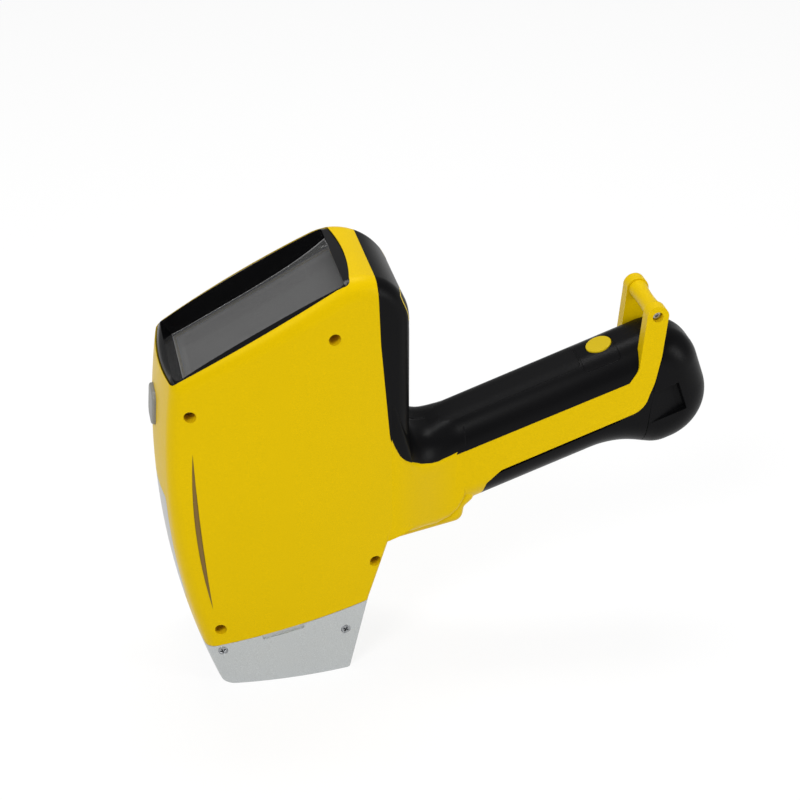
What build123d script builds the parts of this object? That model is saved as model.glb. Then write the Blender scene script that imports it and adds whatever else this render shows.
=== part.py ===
from build123d import *
import os
from math import asin, cos, radians, sin, tan

# Handheld X-ray fluorescence analyzer, standing on its nose. Millimetres, +Z up, nose face on Z = 0,
# +X towards the handle, -Y the left side of the instrument.
os.makedirs("parts", exist_ok=True)

# shells and clearances
wall = 2.6  # moulded wall of the housings
reveal = 0.2  # visible parting gap between neighbouring covers
running = 0.35  # clearance round moving pieces
seat = 0.1  # gap between an inner piece and the one that carries it

# head: side outline, crowned sides and barrel-shaped top of the instrument
head_half = 41.0  # half thickness at the fullest place
side_radius = 262.0  # crown of the two side faces
barrel_radius = 400.0
barrel_x = -60.1
barrel_z = 128.0
barrel_sag = 4.5  # crown of the barrel face over its half width
barrel_half = 37.0
rear_x = 71.8  # rearmost wall of the head
screen_tilt = 27.4
peak_z = 255.4  # where the screen slope and the rear wall would meet
peak_radius = 29.0
edge_radius = 10.0  # soft rounding round the screen and the rear cover
nose_edge = 2.5
barrel_edge = 8.0
nose_front = 36.0  # nose outline at its foot
chin_x = 47.0
chin_z = 44.0
throat_x = 73.0
throat_z = 120.0
join_z = 112.0  # level where the lower and the upper head form meet

# handle: centre line and section
grip_x = 140.7
grip_z = 122.5
grip_tilt = 19.3
grip_half_depth = 27.0
grip_half_width = 20.5
grip_round = 16.5
root_half_width = 34.0
shoulder_low = -15.0
hood_edge = 5.5
hood_half = 19.0
bulb_end = 102.0
bulb_low = -41.0
bulb_top_radius = 24.0
bulb_low_radius = 29.0

# parting lines
seam_z = 33.7  # nose seam height at X = 0
seam_tilt = 11.4
band_width = 21.0

grip_u = Vector(cos(radians(grip_tilt)), 0, sin(radians(grip_tilt)))
grip_v = Vector(-sin(radians(grip_tilt)), 0, cos(radians(grip_tilt)))
grip_plane = Plane(origin=(grip_x, 0, grip_z), x_dir=grip_u, z_dir=(0, -1, 0))
plan_plane = Plane(origin=(grip_x, 0, grip_z), x_dir=grip_u, z_dir=grip_v)
screen_u = Vector(cos(radians(screen_tilt)), 0, sin(radians(screen_tilt)))
screen_n = Vector(-sin(radians(screen_tilt)), 0, cos(radians(screen_tilt)))


def save(part, label):
    part.label = label
    export_step(part, "parts/" + label + ".step")
    print(label, len(part.solids()), round(part.volume))


def on_grip(s, t):
    """Point of the grip frame, s along the handle and t across it, in X and Z."""
    p = Vector(grip_x, 0, grip_z) + grip_u * s + grip_v * t
    return (p.X, p.Z)


def slope_z(x):
    """Height of the screen slope on the middle plane."""
    return peak_z + (x - rear_x) * tan(radians(screen_tilt))


# ---------------------------------------------------------------- outer forms
def crowned(inset):
    """Prism between the two crowned side faces, a lens in plan."""
    with BuildPart() as lens:
        with BuildSketch(Plane.XY):
            with Locations((0, side_radius - head_half)):
                Circle(side_radius - inset)
            with Locations((0, head_half - side_radius)):
                Circle(side_radius - inset, mode=Mode.INTERSECT)
        extrude(amount=300)
    return lens.part


def barrel(inset):
    """Solid turned about a far axis along Y: its rim is the gently domed -X face."""
    crown = (barrel_half**2 + barrel_sag**2) / (2 * barrel_sag)
    rim = barrel_x + inset
    with BuildPart() as turned:
        with BuildSketch(Plane.XY.offset(barrel_z)):
            with Locations((rim + crown - inset, 0)):
                Circle(crown - inset)
            with Locations((rim + 60, 0)):
                Rectangle(400, 400, align=(Align.MIN, Align.CENTER), mode=Mode.SUBTRACT)
            with Locations((rim + 59, 0)):
                Rectangle(200, 150, align=(Align.MIN, Align.CENTER))
        revolve(axis=Axis((barrel_x + barrel_radius, 0, barrel_z), (0, 1, 0)), revolution_arc=360)
    return turned.part


def upper_head(inset):
    far = -95.0
    with BuildPart() as upper:
        with BuildSketch(Plane.XZ):
            with BuildLine():
                FilletPolyline(
                    (far, join_z - 12),
                    (rear_x, join_z - 12),
                    (rear_x, peak_z),
                    (far, slope_z(far)),
                    radius=[0, 0, peak_radius, 0],
                    close=True,
                )
            make_face()
            if inset:
                offset(amount=-inset, kind=Kind.INTERSECTION)
        extrude(amount=60, both=True)
        add(crowned(inset), mode=Mode.INTERSECT)
        rim = upper.edges().filter_by(lambda e: abs(e.center().Y) > 15 and e.center().X > far + 20)
        rim = rim.filter_by(lambda e: e.center().Z > join_z + 2)
        fillet(rim, edge_radius - inset)
    return upper.part


def lower_head(inset):
    far = -95.0
    with BuildPart() as lower:
        with BuildSketch(Plane.XZ):
            with BuildLine():
                Polyline(
                    (far, 0),
                    (nose_front, 0),
                    (chin_x, chin_z),
                    (throat_x, throat_z),
                    (throat_x, throat_z + 20),
                    (far, throat_z + 20),
                    close=True,
                )
            make_face()
            if inset:
                offset(amount=-inset, kind=Kind.INTERSECTION)
        extrude(amount=60, both=True)
        add(crowned(inset), mode=Mode.INTERSECT)
        corner = lower.edges().filter_by(lambda e: abs(e.center().Y) > 15 and e.center().X > 20)
        corner = corner.filter_by(lambda e: abs((e @ 0).Z - (e @ 1).Z) > 10)
        fillet(corner, nose_edge - inset / 2)
    return lower.part


def grip_form(inset):
    """Pistol grip: side outline cut to its plan, with all long edges rounded."""
    root = -92.0
    with BuildPart() as grip:
        with BuildSketch(grip_plane):
            with BuildLine():
                FilletPolyline(
                    (root, grip_half_depth),
                    (bulb_end, grip_half_depth + 0.5),
                    (bulb_end, bulb_low),
                    (64, bulb_low),
                    (42, -27),
                    (root, -27),
                    radius=[0, bulb_top_radius, bulb_low_radius, 20, 45, 0],
                    close=True,
                )
            make_face()
            if inset:
                offset(amount=-inset, kind=Kind.INTERSECTION)
        extrude(amount=60, both=True)
        with BuildSketch(plan_plane) as plan:
            Rectangle(2 * (bulb_end + 5), 2 * (grip_half_width - inset))
        extrude(plan.sketch, amount=70, both=True, mode=Mode.INTERSECT)
        rim = grip.edges().filter_by(lambda e: abs(e.center().Y) > 10)
        rim = rim.filter_by(lambda e: (e.center() - Vector(grip_x, 0, grip_z)).dot(grip_u) > root + 4)
        fillet(rim, grip_round - inset)
    return grip.part


def shoulder_form(inset):
    """Flare where the sides of the grip run out into the head."""
    root = -94.0
    with BuildPart() as shoulder:
        with BuildSketch(grip_plane):
            with BuildLine():
                Polyline(
                    (root, grip_half_depth - inset),
                    (-44, grip_half_depth - inset),
                    (-44, shoulder_low + inset),
                    (root, shoulder_low + inset),
                    close=True,
                )
            make_face()
        extrude(amount=60, both=True)
        with BuildSketch(plan_plane) as plan:
            with BuildLine():
                FilletPolyline(
                    (root, root_half_width),
                    (-82, root_half_width),
                    (-58, grip_half_width - 0.2),
                    (-40, grip_half_width - 0.2),
                    (-40, -grip_half_width + 0.2),
                    (-58, -grip_half_width + 0.2),
                    (-82, -root_half_width),
                    (root, -root_half_width),
                    radius=[0, 25, 40, 0, 0, 40, 25, 0],
                    close=True,
                )
            make_face()
            if inset:
                offset(amount=-inset, kind=Kind.INTERSECTION)
        extrude(plan.sketch, amount=70, both=True, mode=Mode.INTERSECT)
        rim = shoulder.edges().filter_by(lambda e: abs(e.center().Y) > 10 and abs(((e @ 0) - (e @ 1)).dot(grip_u)) > 2)
        rim = rim.filter_by(lambda e: (e.center() - Vector(grip_x, 0, grip_z)).dot(grip_u) > root + 4)
        rim = rim.filter_by(lambda e: (e.center() - Vector(grip_x, 0, grip_z)).dot(grip_v) > 10)
        fillet(rim, grip_round - inset)
    return shoulder.part


def hood_form(inset):
    """Trigger hood: the bulge under the grip root with the finger stop at its end."""
    with BuildPart() as hood:
        with BuildSketch(grip_plane):
            with BuildLine():
                FilletPolyline(
                    (-92, -10),
                    (-36, -10),
                    (-40, -23.5),
                    (-47, -26.5),
                    (-51, -34.0),
                    (-92, -28.0),
                    radius=[0, 0, 6, 4, 6, 0],
                    close=True,
                )
            make_face()
            if inset:
                offset(amount=-inset, kind=Kind.INTERSECTION)
        extrude(amount=hood_half - inset, both=True)
        low = hood.edges().filter_by(lambda e: abs(e.center().Y) > 10)
        low = low.filter_by(lambda e: (e.center() - Vector(grip_x, 0, grip_z)).dot(grip_v) < -20)
        low = low.filter_by(lambda e: abs((e @ 0).Y - (e @ 1).Y) < 1)
        fillet(low, 3.4 if inset else 5.5)
    return hood.part


def head_form(inset):
    with BuildPart() as foot:
        add(lower_head(inset))
        split(bisect_by=Plane.XY.offset(join_z), keep=Keep.BOTTOM)
    with BuildPart() as head:
        add(upper_head(inset))
        split(bisect_by=Plane.XY.offset(join_z), keep=Keep.TOP)
        add(foot.part)
        add(barrel(inset), mode=Mode.INTERSECT)
        rim = head.edges().filter_by(lambda e: e.center().X < -20 and abs(e.center().Y) > 20)
        rim = rim.filter_by(lambda e: e.length > 12 and abs((e @ 0).X - (e @ 1).X) < 30)
        fillet(rim, barrel_edge - inset)
    return head.part


def whole_form(inset):
    with BuildPart() as whole:
        add(head_form(inset))
        add(grip_form(inset))
        add(shoulder_form(inset))
        add(hood_form(inset))
    return whole.part


# ---------------------------------------------------------------- parting regions
def side_region(points, radii, low=-60.0, high=60.0, grow=0.0):
    """Prism of a region drawn in the X-Z plane, between two Y levels."""
    with BuildPart() as region:
        with BuildSketch(Plane.XZ.offset(-high)):
            with BuildLine():
                FilletPolyline(*points, radius=radii, close=True)
            make_face()
            if grow:
                offset(amount=grow)
        extrude(amount=high - low)
    return region.part


def grip_region(points, radii, low=-60.0, high=60.0, grow=0.0):
    """The same in the grip frame."""
    return side_region([on_grip(s, t) for s, t in points], radii, low, high, grow)


border = [(-95, 300), (51.0, 300), (54.8, 200), (60.0, 138), (84.5, 113.9), (194.0, 151.4)]
border_radii = [0, 0, 150, 16, 22, 1.5]
band_end = [(208.0, 151.4), (203.6, 134.0), (124.0, 105.8), (116.0, 98.0), (112.5, 78.0), (112.5, -20), (-95, -20)]
band_radii = [0, 13, 7, 5, 8, 0, 0]


def yellow_region(grow=0.0):
    return side_region(border + band_end, border_radii + band_radii, grow=grow)


def nose_region(side, gap=0.0):
    """Half space under (side 1) or over (side -1) the tilted nose seam."""
    seam = Plane(
        origin=(0, 0, seam_z - side * gap),
        x_dir=(cos(radians(seam_tilt)), 0, sin(radians(seam_tilt))),
        z_dir=(-sin(radians(seam_tilt)), 0, cos(radians(seam_tilt))),
    )
    with BuildPart() as half:
        with BuildSketch(seam):
            Rectangle(700, 200)
        extrude(amount=-side * 400)
    return half.part


arm_y = 20.5
arm_thick = 7.0
arm_centre = (207.3, 190.3)
arm_eye = 6.1
arm_points = [(190.5, 139.0), (190.5, 149.9), (194.0, 151.4), (198.9, 159.0), (201.3, 190.3)]
arm_points += [(213.3, 190.3), (211.2, 166.0), (208.4, 150.0), (203.2, 135.5)]


def arm_prism(low, high, grow=0.0):
    """Flat arm beside the grip with its round eye."""
    with BuildPart() as arm:
        with BuildSketch(Plane.XZ.offset(-high)):
            with BuildLine():
                FilletPolyline(*arm_points, radius=[0, 0, 0.8, 9, 0, 0, 30, 30, 6], close=True)
            make_face()
            with Locations(arm_centre):
                Circle(arm_eye)
            if grow:
                offset(amount=grow)
        extrude(amount=high - low)
    return arm.part


cap_seam = [(204.4, 70), (205.0, 108), (208.7, 150), (211.6, 166), (213.9, 190), (214, 260), (300, 260), (300, 70)]
cap_radii = [0, 0, 20, 20, 0, 0, 0, 0]
crease = [(58.0, 128.0), (94.0, 153.0)]  # line between the rear cover and the grip


def crease_region(grow=0.0):
    """Everything above and in front of the crease."""
    return side_region([crease[0], crease[1], (94, 300), (30, 300), (30, 109)], [0, 0, 0, 0, 0], grow=grow)


outer = whole_form(0)
inner = whole_form(wall)
yellow = yellow_region()
yellow_clear = yellow_region(reveal)
cap_zone = side_region(cap_seam, cap_radii)
cap_zone_clear = side_region(cap_seam, cap_radii, grow=running)

# ---------------------------------------------------------------- screen well
well_x = -7.5  # middle of the screen opening, on the slope
well_length = 103.0
well_width = 67.4
well_bow = 3.4
well_front_bow = 3.2
well_rear_bow = 3.4
well_corner = 4.0
well_depth = 13.0
glass_thick = 1.2
screen_plane = Plane(origin=(well_x, 0, slope_z(well_x)), x_dir=screen_u, z_dir=screen_n)


def well_sketch(plane, shrink, end_shrink=None):
    """Rectangle with four bowed sides."""
    along = well_length / 2 - (shrink if end_shrink is None else end_shrink)
    across = well_width / 2 - shrink
    with BuildSketch(plane) as opening:
        with BuildLine():
            ThreePointArc((-along, across), (0, across + well_bow), (along, across))
            ThreePointArc((along, across), (along + well_rear_bow, 0), (along, -across))
            ThreePointArc((along, -across), (0, -across - well_bow), (-along, -across))
            ThreePointArc((-along, -across), (-along - well_front_bow, 0), (-along, across))
        make_face()
        fillet(opening.vertices(), max(well_corner - shrink / 2, 1.5))
    return opening.sketch


with BuildPart() as well_cut:
    extrude(well_sketch(screen_plane.offset(20), 0), amount=-well_depth - 20 - glass_thick - 3.9)

# ---------------------------------------------------------------- housing screws
screw_spots = [(30.6, 207.5), (-43.7, 170.8), (-34.7, 37.1), (50.8, 67.5)]
boss_radius = 5.0
bore_radius = 3.15
bore_floor = -27.0  # depth of the counterbores, as a Y level
shank_radius = 1.5
shank_end = 10.0
button_z = 159.5
button_height = 19.0
button_width = 18.0
button_travel = 1.2

button_lean = asin((button_z - barrel_z) / barrel_radius)
button_out = Vector(-cos(button_lean), 0, sin(button_lean))
button_spot = Vector(barrel_x + barrel_radius, 0, barrel_z) + button_out * barrel_radius
button_plane = Plane(origin=button_spot, x_dir=(0, 1, 0), z_dir=button_out)

with BuildPart() as button_hole:
    with BuildSketch(button_plane.offset(6)):
        RectangleRounded(button_width + 2 * running, button_height + 2 * running, 5)
    extrude(amount=-wall - 10)

# bare plate recessed in the barrel face
plate_low = 51.0
plate_high = 117.0
plate_width = 50.0
plate_thick = 0.6
with BuildPart() as plate_window:
    with BuildSketch(Plane.YZ.offset(-75)):
        with Locations((0, (plate_low + plate_high) / 2)):
            RectangleRounded(plate_width, plate_high - plate_low, 3)
    extrude(amount=40)

# status light, a narrow leaf in each side face
light_depth = 1.4
light_top = (-43.6, 149.0)
light_foot = (-38.1, 50.5)
light_front = (-44.6, 104.0)
light_back = (-42.2, 106.0)


def light_prism(low, high, grow=0.0):
    with BuildPart() as leaf:
        with BuildSketch(Plane.XZ.offset(-high)):
            with BuildLine():
                ThreePointArc(light_top, (light_front[0] - grow, light_front[1]), light_foot)
                ThreePointArc(light_foot, (light_back[0] + grow, light_back[1]), light_top)
            make_face()
        extrude(amount=high - low)
    return leaf.part


skin = head_form(light_depth)
plate_skin = head_form(plate_thick)
plate_floor = head_form(plate_thick + 0.05)

# nose slot in the left edge of the nose, and the trigger opening in the hood
trigger_half = 8.0
hinge_s = -79.0
hinge_t = -23.0
trigger_range = 7.0
hinge_radius = 1.5
with BuildPart() as trigger_gap:
    with BuildSketch(grip_plane):
        with Locations((-64.4, -33)):
            Rectangle(22.4, 18)
    extrude(amount=trigger_half + running, both=True)

release_s = 53.4
release_radius = 7.2
release_travel = 2.0


# ---------------------------------------------------------------- yellow clamshell
with BuildPart() as clam_half:
    # left half, which the right half mirrors: head, hood, grip band and loop arm
    add(outer)
    add(inner, mode=Mode.SUBTRACT)
    split(bisect_by=Plane.XZ, keep=Keep.TOP)
    add(yellow, mode=Mode.INTERSECT)
    add(nose_region(-1, 0), mode=Mode.INTERSECT)
    for x, z in screw_spots:
        with BuildSketch(Plane.XZ):
            with Locations((x, z)):
                Circle(boss_radius)
        extrude(amount=60)
    with BuildSketch(grip_plane.offset(trigger_half + running)):
        with Locations((hinge_s, hinge_t)):
            Circle(3.6)
    extrude(amount=30)
    add(outer, mode=Mode.INTERSECT)
    add(arm_prism(-arm_y, -arm_y + arm_thick))
    add(well_cut.part, mode=Mode.SUBTRACT)
    add(button_hole.part, mode=Mode.SUBTRACT)
    add(trigger_gap.part, mode=Mode.SUBTRACT)
    with BuildSketch(grip_plane):
        with Locations((hinge_s, hinge_t)):
            Circle(hinge_radius + 0.03)
    extrude(amount=40, both=True, mode=Mode.SUBTRACT)

loop_bore = 2.9  # counterbore of the loop screws
loop_floor = 2.6  # material left under their heads

with BuildPart() as left_housing:
    add(clam_half.part)
    with BuildSketch(Plane.XZ.offset(-bore_floor)) as bores:
        with Locations(*screw_spots):
            Circle(bore_radius)
    extrude(amount=30, mode=Mode.SUBTRACT)
    with BuildSketch(Plane.XZ):
        with Locations(*screw_spots):
            Circle(shank_radius + 0.1)
    extrude(amount=45, mode=Mode.SUBTRACT)

with BuildPart() as right_housing:
    add(clam_half.part.mirror(Plane.XZ))
    with BuildSketch(Plane.XZ.offset(-shank_end - 2)):
        with Locations(*screw_spots):
            Circle(shank_radius + 0.05)
    extrude(amount=shank_end + 2, mode=Mode.SUBTRACT)

for half, side, name in ((left_housing, -1, "left_housing"), (right_housing, 1, "right_housing")):
    with half:
        # light slot
        leaf = light_prism(*sorted((side * 30, side * 45)), grow=0.1)
        add(leaf - skin, mode=Mode.SUBTRACT)
        # plate recess
        add(plate_window.part - plate_floor, mode=Mode.SUBTRACT)
        # loop screw counterbore and hole
        with BuildSketch(Plane.XZ.offset(-side * arm_y)):
            with Locations(arm_centre):
                Circle(loop_bore)
        extrude(amount=side * (arm_thick - loop_floor), mode=Mode.SUBTRACT)
        with BuildSketch(Plane.XZ.offset(-side * arm_y)):
            with Locations(arm_centre):
                Circle(1.35)
        extrude(amount=side * arm_thick, mode=Mode.SUBTRACT)
    save(half.part, name)

# ---------------------------------------------------------------- nose
nose_plate_length = 52.0
nose_plate_width = 60.0
nose_plate_corner = 4.0
window_x = -10.0
window_radius = 5.0
nose_screws = [(-34.3, 22.8), (33.5, 26.6)]
block_half = 31.0
nose_boss = 4.2
slot_depth = 1.2
slot_height = 3.0
head_radius = 2.6  # countersunk heads of the nose screws

with BuildPart() as nose_housing:
    add(outer)
    add(inner, mode=Mode.SUBTRACT)
    for side in (-1, 1):
        with BuildSketch(Plane.XZ.offset(-side * (block_half + seat))):
            with Locations(*nose_screws):
                Circle(nose_boss)
        extrude(amount=-side * 9)
    add(outer, mode=Mode.INTERSECT)
    add(nose_region(1, reveal), mode=Mode.INTERSECT)
    with BuildSketch(Plane.XY):
        RectangleRounded(nose_plate_length + 2 * reveal, nose_plate_width + 2 * reveal, nose_plate_corner)
    extrude(amount=wall + 2, mode=Mode.SUBTRACT)
    # slot along the seam on the left side
    with BuildSketch(Plane.XZ.offset(head_half - slot_depth)):
        with Locations(Location((-1.5, seam_z - 0.3), seam_tilt)):
            RectangleRounded(23, 2 * slot_height, 0.8)
    extrude(amount=20, mode=Mode.SUBTRACT)
    for side in (-1, 1):
        for x, z in nose_screws:
            face_y = side * (head_half - side_radius + (side_radius**2 - x**2) ** 0.5)
            with Locations(Plane(origin=(x, face_y, z), x_dir=(1, 0, 0), z_dir=(0, side, 0))):
                CounterSinkHole(radius=1.6, counter_sink_radius=head_radius + 0.15, depth=15)
save(nose_housing.part, "nose_housing")

with BuildPart() as nose_plate:
    with BuildSketch(Plane.XY):
        RectangleRounded(nose_plate_length, nose_plate_width, nose_plate_corner - reveal)
    extrude(amount=wall)
    with Locations(Plane(origin=(window_x, 0, 0), z_dir=(0, 0, -1))):
        Hole(radius=window_radius, depth=wall)
    with Locations(Plane(origin=(0, 0, 0), z_dir=(0, 0, -1))):
        with GridLocations(nose_plate_length - 8, nose_plate_width - 8, 2, 2):
            CounterSinkHole(radius=1.1, counter_sink_radius=2.2, depth=wall)
save(nose_plate.part, "nose_plate")

with BuildPart() as plate_screws:
    for x in (-(nose_plate_length - 8) / 2, (nose_plate_length - 8) / 2):
        for y in (-(nose_plate_width - 8) / 2, (nose_plate_width - 8) / 2):
            with BuildSketch(Plane(origin=(x, y, 0), x_dir=(1, 0, 0), z_dir=(0, -1, 0))):
                with BuildLine():
                    Polyline((0, 0.1), (2.0, 0.1), (1.0, 1.15), (1.0, wall + 6), (0, wall + 6), close=True)
                make_face()
            revolve(axis=Axis((x, y, 0), (0, 0, 1)))
save(plate_screws.part, "plate_screws")

with BuildPart() as window_film:
    with BuildSketch(Plane.XY.offset(wall + 0.02)):
        with Locations((window_x, 0)):
            Circle(window_radius + 3)
    extrude(amount=0.25)
save(window_film.part, "window_film")

with BuildPart() as nose_screw_group:
    for side in (-1, 1):
        for x, z in nose_screws:
            face_y = head_half - side_radius + (side_radius**2 - x**2) ** 0.5
            tip = block_half - 8
            with BuildSketch(Plane.XY.offset(z)):
                with BuildLine():
                    Polyline(
                        (x, side * (face_y - 0.15)),
                        (x + head_radius, side * (face_y - 0.15)),
                        (x + 1.5, side * (face_y - 1.35)),
                        (x + 1.5, side * tip),
                        (x, side * tip),
                        close=True,
                    )
                make_face()
            revolve(axis=Axis((x, 0, z), (0, 1, 0)))
save(nose_screw_group.part, "nose_screws")

# ---------------------------------------------------------------- rear cover and grip skins
with BuildPart() as black_shell:
    add(outer)
    add(inner, mode=Mode.SUBTRACT)
    add(yellow_clear, mode=Mode.SUBTRACT)
    add(cap_zone_clear, mode=Mode.SUBTRACT)

overlay_depth = 0.7
overlay_points = [(0, 222), (15, 222), (23.5, 219), (27.5, 207), (25.5, 199), (24.0, 192), (18.5, 182), (0, 182)]
trim_width = 0.9


def overlay_prism(shrink):
    points = overlay_points + [(-y, z) for y, z in reversed(overlay_points[1:-1])]
    with BuildPart() as prism:
        with BuildSketch(Plane.YZ.offset(40)):
            with BuildLine():
                FilletPolyline(*points, radius=[0, 3, 4, 4, 6, 1.5, 3, 0, 3, 1.5, 6, 4, 4, 3], close=True)
            make_face()
            if shrink:
                offset(amount=-shrink)
        extrude(amount=60)
    return prism.part


overlay_skin = head_form(overlay_depth)

with BuildPart() as rear_cover:
    add(black_shell.part)
    add(crease_region(-reveal), mode=Mode.INTERSECT)
    add(overlay_prism(0) - overlay_skin, mode=Mode.SUBTRACT)
save(rear_cover.part, "rear_cover")

with BuildPart() as trim_line:
    add(outer)
    add(overlay_skin, mode=Mode.SUBTRACT)
    add(overlay_prism(0.02), mode=Mode.INTERSECT)
    add(overlay_prism(trim_width), mode=Mode.SUBTRACT)
save(trim_line.part, "trim_line")

with BuildPart() as rear_overlay:
    add(head_form(0.1))
    add(overlay_skin, mode=Mode.SUBTRACT)
    add(overlay_prism(trim_width + 0.05), mode=Mode.INTERSECT)
save(rear_overlay.part, "rear_overlay")

strap_depth = 1.3
strap_half = 11.0
panel_half = 15.0
strap_start = -42.0
panel_start = 40.5
panel_end = 61.0
strap_skin = grip_form(strap_depth)


def back_prism(start, end, half, corner, grow=0.0):
    """Region of the grip's back seen from above the handle."""
    with BuildPart() as prism:
        with BuildSketch(plan_plane.offset(5)):
            with Locations(((start + end) / 2, 0)):
                RectangleRounded(end - start + 2 * grow, 2 * half + 2 * grow, corner)
        extrude(amount=40)
    return prism.part


strap_zone = back_prism(strap_start, panel_start - 1.2, strap_half, 3)
panel_zone = back_prism(panel_start, panel_end, panel_half, 2.5)

with BuildPart() as grip_back:
    add(black_shell.part)
    add(side_region([(60, 129.4), crease[1], (94, 300), (240, 300), (240, 160), (207, 149), (84, 107), (60, 107)], [0] * 8), mode=Mode.INTERSECT)
    add(crease_region(), mode=Mode.SUBTRACT)
    for low, high in ((arm_y - arm_thick - reveal, 60), (-60, -arm_y + arm_thick + reveal)):
        add(arm_prism(low, high, reveal), mode=Mode.SUBTRACT)
    for zone in (back_prism(strap_start, panel_start - 1.2, strap_half, 3, reveal / 2), back_prism(panel_start, panel_end, panel_half, 2.5, reveal / 2)):
        add(zone - strap_skin, mode=Mode.SUBTRACT)
    with Locations(plan_plane.offset(40)):
        with Locations((release_s, 0)):
            Cylinder(release_radius + running, 60, mode=Mode.SUBTRACT)
print("grip_back", [round(x.volume) for x in grip_back.part.solids()])
save(grip_back.part, "grip_back")

with BuildPart() as back_strap:
    add(grip_form(0))
    add(strap_skin, mode=Mode.SUBTRACT)
    add(strap_zone, mode=Mode.INTERSECT)
save(back_strap.part, "back_strap")

with BuildPart() as button_panel:
    add(grip_form(0))
    add(strap_skin, mode=Mode.SUBTRACT)
    add(panel_zone, mode=Mode.INTERSECT)
    with Locations(plan_plane.offset(40)):
        with Locations((release_s, 0)):
            Cylinder(release_radius + running, 60, mode=Mode.SUBTRACT)
save(button_panel.part, "button_panel")

with BuildPart() as grip_front:
    add(black_shell.part)
    add(side_region([(60, 60), (60, 112), (120, 103), (190, 128), (214, 155), (240, 155), (240, 60)], [0] * 7), mode=Mode.INTERSECT)
    for low, high in ((arm_y - arm_thick - reveal, 60), (-60, -arm_y + arm_thick + reveal)):
        add(arm_prism(low, high, reveal), mode=Mode.SUBTRACT)
print("grip_front", [round(x.volume) for x in grip_front.part.solids()])
save(grip_front.part, "grip_front")

# ---------------------------------------------------------------- battery
cap_wall = 4.6
cap_plate = 3.0
pack_start = -34.0
pack_half_y = 13.5
pack_half_t = 19.0
scoop_depth = 3.4

with BuildPart() as battery_cap:
    add(grip_form(0))
    add(grip_form(cap_wall), mode=Mode.SUBTRACT)
    with BuildPart(mode=Mode.PRIVATE) as web:
        add(grip_form(0.5))
        add(side_region(cap_seam, cap_radii, grow=-cap_plate), mode=Mode.SUBTRACT)
    add(web.part)
    add(cap_zone, mode=Mode.INTERSECT)
    for low, high in ((arm_y - arm_thick - running, 60), (-60, -arm_y + arm_thick + running)):
        add(arm_prism(low, high, running), mode=Mode.SUBTRACT)
    for side in (-1, 1):
        with BuildSketch(plan_plane.offset(-2)):
            with BuildLine():
                Polyline(
                    (62, side * (grip_half_width + 0.3)),
                    (82, side * (grip_half_width - scoop_depth)),
                    (84.5, side * (grip_half_width - scoop_depth)),
                    (86, side * (grip_half_width + 2)),
                    (62, side * (grip_half_width + 2)),
                    close=True,
                )
            make_face()
        extrude(amount=-18, mode=Mode.SUBTRACT)
print("cap", [round(x.volume) for x in battery_cap.part.solids()])
save(battery_cap.part, "battery_cap")

with BuildPart() as battery_pack:
    with BuildSketch(Plane(origin=on_grip(pack_start, 0)[:1] + (0,) + on_grip(pack_start, 0)[1:], x_dir=(0, 1, 0), z_dir=grip_u)):
        RectangleRounded(2 * pack_half_y, 2 * pack_half_t, 9)
    extrude(amount=64.5 - pack_start)
    add(cap_zone, mode=Mode.SUBTRACT)
save(battery_pack.part, "battery_pack")

# ---------------------------------------------------------------- loop
bar_radius = 5.3
bar_waist = 4.5
bar_half = arm_y - arm_thick - 0.05

with BuildPart() as loop_bar:
    with BuildSketch(Plane.XY.offset(arm_centre[1])):
        with BuildLine():
            Line((arm_centre[0], -bar_half), (arm_centre[0] + bar_radius, -bar_half))
            Spline(
                (arm_centre[0] + bar_radius, -bar_half),
                (arm_centre[0] + bar_waist, 0),
                (arm_centre[0] + bar_radius, bar_half),
            )
            Line((arm_centre[0] + bar_radius, bar_half), (arm_centre[0], bar_half))
            Line((arm_centre[0], bar_half), (arm_centre[0], -bar_half))
        make_face()
    revolve(axis=Axis((arm_centre[0], 0, arm_centre[1]), (0, 1, 0)))
    for side in (-1, 1):
        with BuildSketch(Plane.XZ.offset(-side * bar_half)):
            with Locations(arm_centre):
                Circle(1.25)
        extrude(amount=side * 9.4, mode=Mode.SUBTRACT)
save(loop_bar.part, "loop_bar")


def socket_screw(label, spots, head_y, direction, head_r, head_h, shank_r, length):
    """Cylinder-head screws along Y with a hexagon socket, heads facing -direction."""
    with BuildPart() as screws:
        for (x, z), y0, d in zip(spots, head_y, direction):
            with BuildSketch(Plane(origin=(x, y0, z), x_dir=(1, 0, 0), z_dir=(0, d, 0))):
                Circle(head_r)
            extrude(amount=head_h)
            with BuildSketch(Plane(origin=(x, y0, z), x_dir=(1, 0, 0), z_dir=(0, d, 0))):
                Circle(shank_r)
            extrude(amount=head_h + length)
            with BuildSketch(Plane(origin=(x, y0, z), x_dir=(1, 0, 0), z_dir=(0, d, 0))):
                RegularPolygon(head_r * 0.5, 6)
            extrude(amount=head_h * 0.6, mode=Mode.SUBTRACT)
    save(screws.part, label)


head_height = 2.4
socket_screw("housing_screws", screw_spots, [bore_floor - head_height - 0.02] * 4, [1] * 4, 2.75, head_height, 1.45, shank_end - bore_floor - 0.5)
loop_head = 1.6
loop_y = arm_y - (arm_thick - loop_floor) + loop_head + 0.02
socket_screw("loop_screws", [arm_centre] * 2, [-loop_y, loop_y], [1, -1], 2.4, loop_head, 1.2, loop_floor + 8.5)

# ---------------------------------------------------------------- screen
bezel_top = 0.7  # bezel edge below the yellow rim
side_ledge = 2.0
end_ledge = 8.0
glass_level = -(well_depth - 1.2)

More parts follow.
